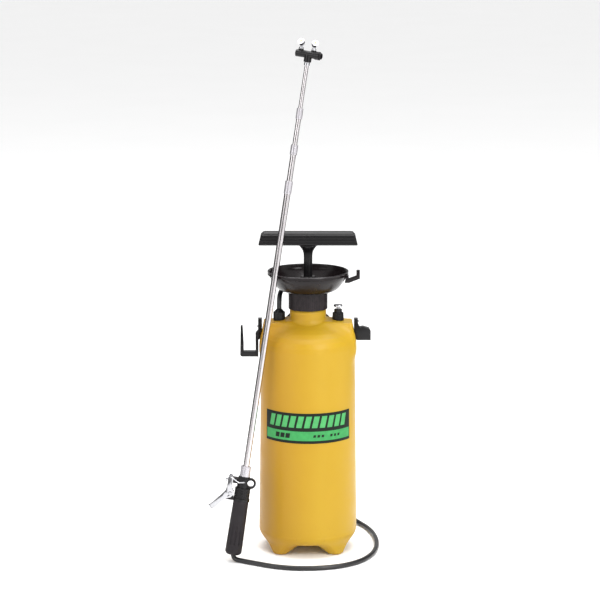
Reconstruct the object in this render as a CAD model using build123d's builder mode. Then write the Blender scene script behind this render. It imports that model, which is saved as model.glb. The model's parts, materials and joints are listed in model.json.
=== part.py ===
from build123d import *
from math import cos, pi, radians, sin, tan
import os

os.makedirs("parts", exist_ok=True)

# Hand-pumped pressure sprayer. Millimetres, +Z up, floor at z = 0, tank axis at x = y = 0, front = -Y.

# ---- driving dimensions ------------------------------------------------------------------------------
run_fit = 0.06          # radial clearance of pieces that turn or slide in one another
part_gap = 0.4          # clearance between neighbouring pieces of different bodies

# tank
tank_r_low = 86.0       # wall radius just above the bottom rounding
tank_r_high = 82.0      # wall radius just under the shoulder
tank_wall = 3.0
tank_under = 21.0       # height of the flat underside
tank_round = 14.0       # rounding between wall and underside
shoulder_low = 366.0    # where the wall starts to round over
shoulder_crease = 385.0  # where the rounding meets the sloping shoulder
shoulder_crease_r = 77.0
shoulder_top = 410.0    # where the shoulder meets the neck
neck_r = 32.0
neck_step = 430.0       # top of the thick part of the neck
neck_top = 450.0
thread_r = 30.0
neck_bore_r = 26.5
foot_pitch = 49.0       # foot centres at (+-49, +-49)
foot_r = 22.0           # radius of a foot where it starts, foot_root above the underside
foot_root = 8.0
foot_taper = 22.0       # degrees
saddle_top = 409.0      # flat raised saddle that carries the ports and brackets
saddle_half = 24.0      # half depth of the saddle, front to back
saddle_reach = 80.6     # x of the saddle's end faces

# arch behind the neck that takes the middle of the carrying strap
arch_y = 58.0
arch_half = 40.0        # half span between the middles of its legs
arch_base = 397.0
arch_crown = 440.0
arch_strip = 5.0
arch_width = 9.0

# label
label_low = 208.0
label_high = 261.5
label_half_angle = 59.0
label_thick = 0.5

# cap, funnel and pump
cap_r = 34.2
cap_low = 432.0
cap_high = 460.0
cap_plate = 5.0
cap_flutes = 60
gasket_thick = 2.0
funnel_rim_r = 71.0
funnel_rim_z = 497.5
funnel_flange_r = 36.8
rod_r = 7.7
rod_flutes = 12
stroke = 200.0
barrel_r = 22.0
barrel_wall = 2.0
barrel_low = 196.0
handle_low = 545.0
handle_high = 568.0
handle_half_low = 86.5
handle_half_high = 81.0
handle_depth = 28.0
handle_wall = 3.0
flare_r = 17.0          # the handle's hub flares from the rod to this radius under the bar
flare_len = 9.0
handle_pin_r = 2.5
handle_pin_front = -10.5   # the pin is pushed in from behind and stops short of the front

# ports on the saddle
outlet_x = -50.4
outlet_nut_r = 10.4
outlet_top = 430.0
relief_x = 52.6
relief_nut_r = 10.4
relief_travel = 3.5

# brackets
bracket_depth = 14.0
hook_out_x = -119.0
hook_low_z = 346.0
hook_gap = 20.8

# lance: grip butt at lance_butt, straight axis through lance_tip
lance_butt = Vector(-131.0, -98.0, 14.0)
lance_tip = Vector(-1.6, -19.5, 864.5)
grip_r_low = 14.5
grip_r_high = 13.4
grip_len = 95.0
valve_len = 43.5
tube_r = 5.5            # radius of the outermost tube
tube_wall = 0.55
tube_step = 0.6 + run_fit   # each inner tube is smaller in radius by this much
ferrule_r = 9.0
ferrule_len = 18.0
collar_s = (636.0, 704.0, 766.0)     # foot of each lock collar along the lance
collar_len = (22.0, 17.0, 18.0)
collar_r = (6.6, 6.2, 5.6)
tube_foot_s = (136.0, 250.0, 300.0, 350.0)
seal_lift = 1.6         # from the tube's end up to its seal
seal_len = 1.8
seal_wall = 1.0
head_s = 862.0
eye_r = 5.5             # hanging eye
eye_rim = 3.8
eye_thick = 8.0

# trigger, in the lance's own frame: x across, s along the axis from the butt
pivot_x = -20.6
pivot_s = 106.0
spindle_arm = 24.0      # height of the valve spindle above the lever's pivot
trigger_deg = 14.0
cheek_half = 8.0
sheet = 1.5
pin_r = 1.5

# hose
hose_r = 4.25

# ---- shared frames and helpers ------------------------------------------------------------------------
along = (lance_tip - lance_butt).normalized()
across = (Vector(1, 0, 0) - along * along.dot(Vector(1, 0, 0))).normalized()
depth = along.cross(across)                       # away from the front
lance = Plane(origin=lance_butt, x_dir=across, z_dir=along)
side = Plane(origin=lance_butt, x_dir=across, z_dir=across.cross(along))   # sketch x across, y along


def lance_point(x, s, y=0.0):
    """A point given across, along and behind the lance's axis, in the part's frame."""
    return lance_butt + across * x + along * s + depth * y


def tank_radius(z):
    """Wall radius of the tank's tapered side at height z."""
    low = tank_under + tank_round
    return tank_r_low + (tank_r_high - tank_r_low) * (z - low) / (shoulder_low - low)


def finish(builder, name):
    """Labels a finished piece and writes its STEP file."""
    builder.part.label = name
    export_step(builder.part, f"parts/{name}.step")


# ---- tank ----------------------------------------------------------------------------------------------
tank_r_base = tank_radius(tank_under + tank_round)
with BuildPart() as tank:
    with BuildSketch(Plane.XZ):
        with BuildLine():
            Polyline((0, tank_under), (tank_r_base - tank_round, tank_under))
            RadiusArc((tank_r_base - tank_round, tank_under), (tank_r_base, tank_under + tank_round), -tank_round)
            Line((tank_r_base, tank_under + tank_round), (tank_r_high, shoulder_low))
            RadiusArc((tank_r_high, shoulder_low), (shoulder_crease_r, shoulder_crease), -30)
            Spline((shoulder_crease_r, shoulder_crease), (neck_r + 6, shoulder_top - 3), (neck_r, shoulder_top + 4),
                   tangents=((-0.75, 0.66), (0, 1)))
            Polyline((neck_r, shoulder_top + 4), (neck_r, neck_step), (thread_r, neck_step),
                     (thread_r, neck_top), (0, neck_top), (0, tank_under))
        make_face()
    revolve(axis=Axis.Z)
    # saddle: a flat-topped bar across the shoulder, inside the wall's own radius
    with BuildSketch(Plane.XY.offset(shoulder_low - 6)):
        Rectangle(2 * saddle_reach, 2 * saddle_half)
        Circle(tank_r_high - 0.6, mode=Mode.INTERSECT)
        fillet(vertices(), 5)
    extrude(amount=saddle_top - shoulder_low + 6)
    # two flat pads behind the neck for the strap arch
    with BuildSketch(Plane.XY.offset(shoulder_low)):
        with Locations((-arch_half, arch_y), (arch_half, arch_y)):
            Circle(8.5)
    extrude(amount=arch_base - shoulder_low)
    # feet
    with BuildSketch(Plane.XY.offset(tank_under + foot_root)):
        with GridLocations(2 * foot_pitch, 2 * foot_pitch, 2, 2):
            Circle(foot_r)
    extrude(amount=-(tank_under + foot_root), taper=foot_taper)
    fillet(edges().group_by(Axis.Z)[0], 5)
    # hollow
    with BuildSketch(Plane.XZ):
        with BuildLine():
            floor = tank_under + tank_wall
            wall_r = tank_r_base - tank_wall
            bend = tank_round - tank_wall
            Line((0, floor), (wall_r - bend, floor))
            RadiusArc((wall_r - bend, floor), (wall_r, floor + bend), -bend)
            Line((wall_r, floor + bend), (tank_r_high - tank_wall, shoulder_low))
            RadiusArc((tank_r_high - tank_wall, shoulder_low),
                      (shoulder_crease_r - tank_wall, shoulder_crease - tank_wall / 2), -28)
            Polyline((shoulder_crease_r - tank_wall, shoulder_crease - tank_wall / 2),
                     (neck_bore_r, shoulder_top - tank_wall), (neck_bore_r, neck_top), (0, neck_top), (0, floor))
        make_face()
    revolve(axis=Axis.Z, mode=Mode.SUBTRACT)
    # threaded ports through the saddle
    with BuildSketch(Plane.XY.offset(saddle_top)):
        with Locations((outlet_x, 0), (relief_x, 0)):
            Circle(6.0)
    extrude(amount=-40, mode=Mode.SUBTRACT)
finish(tank, "tank")

with BuildPart() as label:
    with BuildSketch(Plane.XZ):
        with BuildLine():
            Polyline((tank_radius(label_low), label_low), (tank_radius(label_low) + label_thick, label_low),
                     (tank_radius(label_high) + label_thick, label_high), (tank_radius(label_high), label_high),
                     (tank_radius(label_low), label_low))
        make_face()
    revolve(axis=Axis.Z, revolution_arc=2 * label_half_angle)
label_turned = label.part.rotate(Axis.Z, -90 - label_half_angle)
label_turned.label = "label"
export_step(label_turned, "parts/label.step")

# ---- liquid outlet ------------------------------------------------------------------------------------
spigot_r = 3.2
with BuildPart() as outlet_nut:
    with BuildSketch(Plane.XY.offset(saddle_top + 2.0)):
        with Locations((outlet_x, 0)):
            Circle(outlet_nut_r)
            with PolarLocations(outlet_nut_r, 24):
                Circle(0.55, mode=Mode.SUBTRACT)
    extrude(amount=14.0)
    with BuildSketch(Plane.XY.offset(saddle_top + 16.0)):
        with Locations((outlet_x, 0)):
            Circle(outlet_nut_r - 1.0)
    extrude(amount=outlet_top - saddle_top - 16.0, taper=40)
    with BuildSketch(Plane.XY.offset(saddle_top + 2.0)):
        with Locations((outlet_x, 0)):
            Circle(spigot_r + 2.0)
    extrude(amount=12.0, mode=Mode.SUBTRACT)
    with BuildSketch(Plane.XY.offset(saddle_top + 2.0)):
        with Locations((outlet_x, 0)):
            Circle(spigot_r)
    extrude(amount=outlet_top - saddle_top, mode=Mode.SUBTRACT)
finish(outlet_nut, "outlet_nut")

with BuildPart() as outlet_gasket:
    with BuildSketch(Plane.XY.offset(saddle_top)):
        with Locations((outlet_x, 0)):
            Circle(8.5)
            Circle(6.0, mode=Mode.SUBTRACT)
    extrude(amount=2.0)
finish(outlet_gasket, "outlet_gasket")

port_low = 386.0
with BuildPart() as outlet_spigot:
    with BuildSketch(Plane.XY.offset(port_low)):
        with Locations((outlet_x, 0)):
            Circle(6.0)
    extrude(amount=saddle_top + 2.0 - port_low)
    with BuildSketch(Plane.XY.offset(saddle_top + 2.0)):
        with Locations((outlet_x, 0)):
            Circle(spigot_r + 2.0)
    extrude(amount=12.0)
    with BuildSketch(Plane.XY.offset(saddle_top + 14.0)):
        with Locations((outlet_x, 0)):
            Circle(spigot_r)
    extrude(amount=outlet_top - saddle_top - 14.0)
    with BuildSketch(Plane.XY.offset(port_low)):
        with Locations((outlet_x, 0)):
            Circle(2.0)
    extrude(amount=outlet_top - port_low, mode=Mode.SUBTRACT)
finish(outlet_spigot, "outlet_spigot")

dip_low = 46.0
dip_r = 6.0
with BuildPart() as suction_tube:
    with BuildSketch(Plane.XY.offset(dip_low)):
        with Locations((outlet_x, 0)):
            Circle(dip_r)
            Circle(dip_r - 1.5, mode=Mode.SUBTRACT)
    extrude(amount=port_low - dip_low)
finish(suction_tube, "suction_tube")

with BuildPart() as suction_strainer:
    with BuildSketch(Plane.XY.offset(dip_low - 16.0)):
        with Locations((outlet_x, 0)):
            Circle(dip_r + 4.0)
    extrude(amount=24.0)
    with BuildSketch(Plane.XY.offset(dip_low - 13.0)):
        with Locations((outlet_x, 0)):
            Circle(dip_r)
    extrude(amount=21.0, mode=Mode.SUBTRACT)
    with Locations((outlet_x, 0, dip_low - 7.0)):
        for turn in (0, 45, 90, 135):
            Box(2 * dip_r + 12, 2.5, 8.0, rotation=(0, 0, turn), mode=Mode.SUBTRACT)
finish(suction_strainer, "suction_strainer")

# ---- relief valve ---------------------------------------------------------------------------------------
stem_r = 2.2
relief_nut_top = saddle_top + 15.0
relief_barrel_top = relief_nut_top + 6.0
button_low = relief_barrel_top + relief_travel + 1.5
button_thick = 3.2
with BuildPart() as relief_valve_body:
    with BuildSketch(Plane.XY.offset(saddle_top + 1.6)):
        with Locations((relief_x, 0)):
            Circle(relief_nut_r)
            with PolarLocations(relief_nut_r, 18):
                Circle(0.8, mode=Mode.SUBTRACT)
    extrude(amount=relief_nut_top - saddle_top - 1.6, taper=3)
    with BuildSketch(Plane.XY.offset(relief_nut_top)):
        with Locations((relief_x, 0)):
            Circle(7.0)
            Circle(5.2, mode=Mode.SUBTRACT)
    extrude(amount=relief_barrel_top - relief_nut_top)
    with BuildSketch(Plane.XY.offset(port_low)):
        with Locations((relief_x, 0)):
            Circle(6.0)
    extrude(amount=saddle_top + 1.6 - port_low)
    with BuildSketch(Plane.XY.offset(port_low)):
        with Locations((relief_x, 0)):
            Circle(stem_r + run_fit)
    extrude(amount=relief_nut_top - port_low, mode=Mode.SUBTRACT)
finish(relief_valve_body, "relief_valve_body")

with BuildPart() as relief_gasket:
    with BuildSketch(Plane.XY.offset(saddle_top)):
        with Locations((relief_x, 0)):
            Circle(8.5)
            Circle(6.0, mode=Mode.SUBTRACT)
    extrude(amount=1.6)
finish(relief_gasket, "relief_gasket")

with BuildPart() as relief_valve_button:
    with BuildSketch(Plane.XY.offset(port_low - 4.0)):
        with Locations((relief_x, 0)):
            Circle(stem_r)
    extrude(amount=button_low - port_low + 4.0)
    with BuildSketch(Plane.XY.offset(button_low)):
        with Locations((relief_x, 0)):
            Circle(7.9)
    extrude(amount=button_thick)
    fillet(edges().filter_by(GeomType.CIRCLE).group_by(Axis.Z)[-1], 1.2)
finish(relief_valve_button, "relief_valve_button")

with BuildPart() as relief_valve_seal:
    with BuildSketch(Plane.XY.offset(port_low - 4.0)):
        with Locations((relief_x, 0)):
            Circle(5.2)
            Circle(stem_r, mode=Mode.SUBTRACT)
    extrude(amount=3.6)
finish(relief_valve_seal, "relief_valve_seal")

spring_wire = 0.5
spring_r = 4.2
spring_low = relief_nut_top + spring_wire + 0.1
spring_len = button_low - relief_nut_top - 2 * spring_wire - 0.2
with BuildPart() as relief_valve_spring:
    with BuildLine():
        relief_coil = Helix(pitch=spring_len / 4, height=spring_len, radius=spring_r,
                            center=(relief_x, 0, spring_low))
    with BuildSketch(Plane(origin=relief_coil @ 0, z_dir=relief_coil % 0)):
        Circle(spring_wire)
    sweep(is_frenet=True)
finish(relief_valve_spring, "relief_valve_spring")

# ---- brackets -------------------------------------------------------------------------------------------
post_in = saddle_reach            # inner face of both bracket posts
post_out = saddle_reach + 6.9
post_top = 413.7
arm = 6.2                         # thickness of the hook's arms
hook_screw_z = 400.5
block_screw_z = 409.4
screw_r = 1.6
screw_hole_r = screw_r + 0.1
screw_head_r = 3.2
gap_out = hook_out_x + arm
gap_in = gap_out + hook_gap
with BuildPart() as lance_bracket:
    with BuildSketch(Plane.XZ.offset(-bracket_depth / 2)):
        with BuildLine():
            Polyline((hook_out_x, hook_low_z), (hook_out_x + 1.0, 400.5), (hook_out_x + 4.5, 400.5),
                     (gap_out, hook_low_z + 24), (gap_out, hook_low_z + 9.0), (gap_in, hook_low_z + 9.0),
                     (gap_in, 388.0), (-post_out, 393.0), (-post_out, post_top), (-post_in, post_top),
                     (-post_in, 381.0), (gap_in + 5.0, 376.0), (gap_in + 5.0, hook_low_z),
                     (hook_out_x, hook_low_z))
        make_face()
    extrude(amount=bracket_depth)
    fillet(edges().filter_by(Axis.Y).group_by(Axis.Z)[0].sort_by(Axis.X)[0], 4.0)
    with Locations(Plane(origin=(-post_out - 1, 0, hook_screw_z), z_dir=(1, 0, 0))):
        Cylinder(screw_hole_r, 3 * (post_out - post_in), align=(Align.CENTER, Align.CENTER, Align.MIN),
                 mode=Mode.SUBTRACT)
finish(lance_bracket, "lance_bracket")

block_out = 110.0
block_low = 375.5
block_high = 399.5
with BuildPart() as strap_bracket:
    with BuildSketch(Plane.XZ.offset(-bracket_depth / 2)):
        with BuildLine():
            Polyline((post_in, block_low + 5.5), (post_in, post_top), (post_out, post_top),
                     (post_out, block_high + 5.5), (post_out + 3.0, block_high - 1.0), (block_out - 14.0, block_high),
                     (block_out - 3.5, block_high - 3.0), (block_out, block_high - 8.0), (block_out, block_low),
                     (post_out - 1.5, block_low), (post_in, block_low + 5.5))
        make_face()
    extrude(amount=bracket_depth)
    with BuildSketch(Plane.XY.offset(block_low)):
        with Locations(((post_out + block_out) / 2, 0)):
            Rectangle(block_out - post_out - 6.0, bracket_depth - 5.0)
    extrude(amount=block_high - block_low - 6.0, mode=Mode.SUBTRACT)
    with Locations(Plane(origin=(post_out + 1, 0, block_screw_z), z_dir=(-1, 0, 0))):
        Cylinder(screw_hole_r, 3 * (post_out - post_in), align=(Align.CENTER, Align.CENTER, Align.MIN),
                 mode=Mode.SUBTRACT)
finish(strap_bracket, "strap_bracket")

# one screw through each bracket post into the saddle end: one node of two separate screws
with BuildPart() as bracket_screws:
    for sign, height in ((-1, hook_screw_z), (1, block_screw_z)):
        with BuildSketch(Plane(origin=(sign * post_out, 0, height), z_dir=(-sign, 0, 0))):
            Circle(screw_r)
        extrude(amount=post_out - post_in)
        with BuildSketch(Plane(origin=(sign * post_out, 0, height), z_dir=(sign, 0, 0))):
            Circle(screw_head_r)
            Rectangle(4.6, 0.9, mode=Mode.SUBTRACT)
        extrude(amount=1.8)
finish(bracket_screws, "bracket_screws")

with BuildPart() as rear_strap_arch:
    with BuildSketch(Plane.XZ.offset(-arch_y - arch_width / 2)):
        for edge, mode in ((arch_strip / 2, Mode.ADD), (-arch_strip / 2, Mode.SUBTRACT)):
            with BuildLine():
                Polyline((arch_half + edge, arch_base), (arch_half + edge, arch_base + 22),
                         (arch_half - 12 + edge, arch_crown - 8 + edge), (arch_half - 22 + edge, arch_crown + edge),
                         (22 - arch_half - edge, arch_crown + edge), (12 - arch_half - edge, arch_crown - 8 + edge),
                         (-arch_half - edge, arch_base + 22), (-arch_half - edge, arch_base),
                         (arch_half + edge, arch_base))
            make_face(mode=mode)
    extrude(amount=arch_width)
finish(rear_strap_arch, "rear_strap_arch")

# ---- screw cap and funnel -----------------------------------------------------------------------------
barrel_flange_r = 29.4
barrel_flange_low = neck_top + gasket_thick
barrel_flange_high = cap_high - cap_plate
with BuildPart() as cap_gasket:
    with BuildSketch(Plane.XY.offset(neck_top)):
        Circle(barrel_flange_r)
        Circle(neck_bore_r, mode=Mode.SUBTRACT)
    extrude(amount=gasket_thick)
finish(cap_gasket, "cap_gasket")

with BuildPart() as screw_cap:
    with BuildSketch(Plane.XY.offset(cap_low)):
        Circle(cap_r)
        with PolarLocations(cap_r, cap_flutes):
            Circle(0.7, mode=Mode.SUBTRACT)
    extrude(amount=cap_high - cap_low)
    with BuildSketch(Plane.XY.offset(cap_low)):
        Circle(thread_r + part_gap)
    extrude(amount=barrel_flange_high - cap_low, mode=Mode.SUBTRACT)
    with BuildSketch(Plane.XY.offset(cap_low)):
        Circle(barrel_r)
    extrude(amount=cap_high - cap_low, mode=Mode.SUBTRACT)
finish(screw_cap, "screw_cap")

bowl_step_r = 40.0


def bowl_outside():
    """Draws the outside of the bowl, from the flange's edge up to the rim, in the open line builder."""
    Line((funnel_flange_r, cap_high + 2.4), (bowl_step_r, cap_high + 2.8))
    Spline((bowl_step_r, cap_high + 2.8), (52.5, 468.0), (63.5, 482.0), (funnel_rim_r - 2.6, 491.5),
           tangents=((1, 0.1), (0.3, 1)))
    Line((funnel_rim_r - 2.6, 491.5), (funnel_rim_r, 492.5))


with BuildPart() as funnel:
    with BuildSketch(Plane.XZ):
        with BuildLine():
            Line((barrel_r, cap_high), (funnel_flange_r, cap_high))
            Line((funnel_flange_r, cap_high), (funnel_flange_r, cap_high + 2.4))
            bowl_outside()
            Line((funnel_rim_r, 492.5), (funnel_rim_r, funnel_rim_z - 1.2))
            RadiusArc((funnel_rim_r, funnel_rim_z - 1.2), (funnel_rim_r - 2.4, funnel_rim_z - 0.6), -1.4)
            Line((funnel_rim_r - 2.4, funnel_rim_z - 0.6), (funnel_rim_r - 4.8, 492.0))
            Spline((funnel_rim_r - 4.8, 492.0), (61.4, 483.6), (51.0, 470.5), (bowl_step_r, cap_high + 5.0),
                   tangents=((-0.3, -1), (-1, -0.1)))
            Line((bowl_step_r, cap_high + 5.0), (barrel_r, cap_high + 5.0))
            Line((barrel_r, cap_high + 5.0), (barrel_r, cap_high))
        make_face()
    revolve(axis=Axis.Z)
    with Locations(Plane(origin=(0, 0, 485.5), z_dir=(0, 1, 0))):
        with Locations((-24, 0), (24, 0)):
            Cylinder(2.6, 90, align=(Align.CENTER, Align.CENTER, Align.MIN), mode=Mode.SUBTRACT)
finish(funnel, "funnel")

hook_r = 87.4           # middle of the hook's upright post
with BuildPart() as funnel_hook:
    with BuildSketch(Plane.XZ.offset(-4.5)):
        with BuildLine():
            Polyline((64.0, 477.0), (71.5, 477.0), (hook_r + 3.2, 484.5), (hook_r + 3.2, 499.5),
                     (hook_r - 3.0, 499.5), (hook_r - 3.0, 489.5), (funnel_rim_r + 0.1, 484.5),
                     (funnel_rim_r + 0.1, 491.0), (67.5, 491.0), (64.0, 477.0))
        make_face()
    extrude(amount=9.0)
    with BuildSketch(Plane.XZ):
        with BuildLine():
            bowl_outside()
            Polyline((funnel_rim_r, 492.5), (funnel_rim_r, 520), (0, 520), (0, cap_high + 2.4),
                     (funnel_flange_r, cap_high + 2.4))
        make_face()
    revolve(axis=Axis.Z, mode=Mode.SUBTRACT)
finish(funnel_hook, "funnel_hook")

# ---- pump ---------------------------------------------------------------------------------------------
barrel_bore = barrel_r - barrel_wall
with BuildPart() as pump_barrel:
    with BuildSketch(Plane.XY.offset(barrel_low)):
        Circle(barrel_r)
    extrude(amount=barrel_flange_high - barrel_low)
    with BuildSketch(Plane.XY.offset(barrel_flange_low)):
        Circle(barrel_flange_r)
    extrude(amount=barrel_flange_high - barrel_flange_low)
    with BuildSketch(Plane.XY.offset(barrel_low + 4.0)):
        Circle(barrel_bore)
    extrude(amount=barrel_flange_high - barrel_low, mode=Mode.SUBTRACT)
    with BuildSketch(Plane.XY.offset(barrel_low)):
        with PolarLocations(9.0, 4):
            Circle(2.5)
        Circle(2.1)
    extrude(amount=4.0, mode=Mode.SUBTRACT)
finish(pump_barrel, "pump_barrel")

with BuildPart() as check_valve:
    with BuildSketch(Plane.XY.offset(barrel_low - 1.6)):
        Circle(13.0)
    extrude(amount=1.6)
    with BuildSketch(Plane.XY.offset(barrel_low)):
        Circle(2.1)
    extrude(amount=4.0)
    with BuildSketch(Plane.XY.offset(barrel_low + 4.0)):
        Circle(3.4)
    extrude(amount=1.8)
finish(check_valve, "check_valve")

guide_low = barrel_flange_high - 16.0
guide_top = 489.0
with BuildPart() as rod_guide:
    with BuildSketch(Plane.XY.offset(guide_low)):
        Circle(barrel_bore)
    extrude(amount=barrel_flange_high - guide_low)
    with BuildSketch(Plane.XY.offset(barrel_flange_high)):
        Circle(barrel_r)
    extrude(amount=cap_high + 5.0 - barrel_flange_high)
    with BuildSketch(Plane.XY.offset(cap_high + 5.0)):
        Circle(barrel_r + 4.0)
    extrude(amount=2.0)
    with BuildSketch(Plane.XY.offset(cap_high + 7.0)):
        Circle(barrel_r - 2.0)
        with PolarLocations(barrel_r - 2.0, 16):
            Circle(1.6, mode=Mode.SUBTRACT)
    extrude(amount=guide_top - cap_high - 7.0, taper=16)
    with BuildSketch(Plane.XY.offset(guide_low)):
        Circle(rod_r + run_fit)
    extrude(amount=guide_top - guide_low, mode=Mode.SUBTRACT)
finish(rod_guide, "rod_guide")

piston_low = barrel_low + 4.0 + 8.0
piston_high = piston_low + 8.0
cup_high = piston_high + 6.0
with BuildPart() as pump_rod:
    with BuildSketch(Plane.XY.offset(cup_high + run_fit)):
        Circle(rod_r)
        with PolarLocations(rod_r, rod_flutes):
            Circle(0.7, mode=Mode.SUBTRACT)
    extrude(amount=handle_high - 8.0 - cup_high - run_fit)
    with BuildSketch(Plane.XY.offset(piston_low - 4.0)):
        Circle(4.0)
    extrude(amount=cup_high + run_fit - piston_low + 4.0)
    with Locations(Plane(origin=(0, handle_pin_front, handle_low + 8.0), z_dir=(0, 1, 0))):
        Cylinder(handle_pin_r, handle_depth, align=(Align.CENTER, Align.CENTER, Align.MIN), mode=Mode.SUBTRACT)
finish(pump_rod, "pump_rod")

with BuildPart() as piston:
    with BuildSketch(Plane.XY.offset(piston_low)):
        Circle(barrel_bore - 1.2)
        Circle(4.0, mode=Mode.SUBTRACT)
    extrude(amount=piston_high - run_fit - piston_low)
finish(piston, "piston")

with BuildPart() as piston_cup:
    with BuildSketch(Plane.XY.offset(piston_high)):
        Circle(barrel_bore - run_fit)
        Circle(4.0 + run_fit, mode=Mode.SUBTRACT)
    extrude(amount=cup_high - piston_high)
    with BuildSketch(Plane.XY.offset(piston_high + 2.0)):
        Circle(barrel_bore - 2.0)
        Circle(rod_r + 3.0, mode=Mode.SUBTRACT)
    extrude(amount=cup_high - piston_high, mode=Mode.SUBTRACT)
finish(piston_cup, "piston_cup")

with BuildPart() as piston_nut:
    with BuildSketch(Plane.XY.offset(piston_low - 4.0)):
        RegularPolygon(7.0, 6)
        Circle(4.0, mode=Mode.SUBTRACT)
    extrude(amount=4.0)
finish(piston_nut, "piston_nut")

# T-handle: an inverted channel with ribs, a hub for the rod, and a pin across it
hub_r = rod_r + 3.2
with BuildPart() as handle:
    with BuildSketch(Plane.XZ.offset(-handle_depth / 2)):
        with BuildLine():
            Polyline((-handle_half_low, handle_low), (-handle_half_low, handle_low + 9.0),
                     (-handle_half_low + 2.5, handle_low + 12.0), (-handle_half_high, handle_high),
                     (handle_half_high, handle_high), (handle_half_low - 2.5, handle_low + 12.0),
                     (handle_half_low, handle_low + 9.0), (handle_half_low, handle_low),
                     (-handle_half_low, handle_low))
        make_face()
    extrude(amount=handle_depth)
    fillet(edges().filter_by(Axis.X).group_by(Axis.Z)[-1], 5.0)
    with BuildSketch(Plane.XY.offset(handle_low)):
        Rectangle(2 * (handle_half_low - handle_wall), handle_depth - 2 * handle_wall)
        Rectangle(2 * hub_r, handle_depth, mode=Mode.SUBTRACT)
        with Locations((-62, 0), (-38, 0), (38, 0), (62, 0)):
            Rectangle(2.4, handle_depth, mode=Mode.SUBTRACT)
    extrude(amount=handle_high - handle_low - 5.5, mode=Mode.SUBTRACT)
    with BuildSketch(Plane.XZ):
        with BuildLine():
            Line((0, handle_low - flare_len), (rod_r + 1.6, handle_low - flare_len))
            RadiusArc((rod_r + 1.6, handle_low - flare_len), (flare_r, handle_low), flare_len)
            Polyline((flare_r, handle_low), (flare_r, handle_low + 3.0), (0, handle_low + 3.0),
                     (0, handle_low - flare_len))
        make_face()
    revolve(axis=Axis.Z)
    with BuildSketch(Plane.XY.offset(handle_low - flare_len)):
        Circle(rod_r)
    extrude(amount=handle_high - 8.0 - handle_low + flare_len, mode=Mode.SUBTRACT)
    with Locations(Plane(origin=(0, handle_pin_front, handle_low + 8.0), z_dir=(0, 1, 0))):
        Cylinder(handle_pin_r, handle_depth, align=(Align.CENTER, Align.CENTER, Align.MIN), mode=Mode.SUBTRACT)
finish(handle, "handle")

with BuildPart() as handle_pin:
    with Locations(Plane(origin=(0, handle_pin_front, handle_low + 8.0), z_dir=(0, 1, 0))):
        Cylinder(handle_pin_r, handle_depth / 2 - handle_pin_front,
                 align=(Align.CENTER, Align.CENTER, Align.MIN))
finish(handle_pin, "handle_pin")

# ---- lance: grip and valve ---------------------------------------------------------------------------------
feed_r = 4.0
cup_ceiling = 9.5
with BuildPart() as grip:
    with BuildSketch(side):
        with BuildLine():
            Polyline((11.2, 0), (grip_r_low - 3.0, 0), (grip_r_low, 3.5), (grip_r_low, 16.0),
                     (grip_r_high, grip_len), (feed_r, grip_len), (feed_r, cup_ceiling), (6.8, cup_ceiling - 3.0),
                     (11.2, 0))
        make_face()
    revolve(axis=Axis(lance_butt, along))
    with BuildSketch(lance.offset(18.0)):
        with PolarLocations(grip_r_low + 0.2, 12):
            Circle(1.4)
    extrude(amount=34.0, mode=Mode.SUBTRACT)
finish(grip, "grip")

with BuildPart() as feed_tube:
    with BuildSketch(lance.offset(cup_ceiling)):
        Circle(feed_r)
        Circle(feed_r - 1.2, mode=Mode.SUBTRACT)
    extrude(amount=grip_len + 8.0 - cup_ceiling)
finish(feed_tube, "feed_tube")

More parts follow.
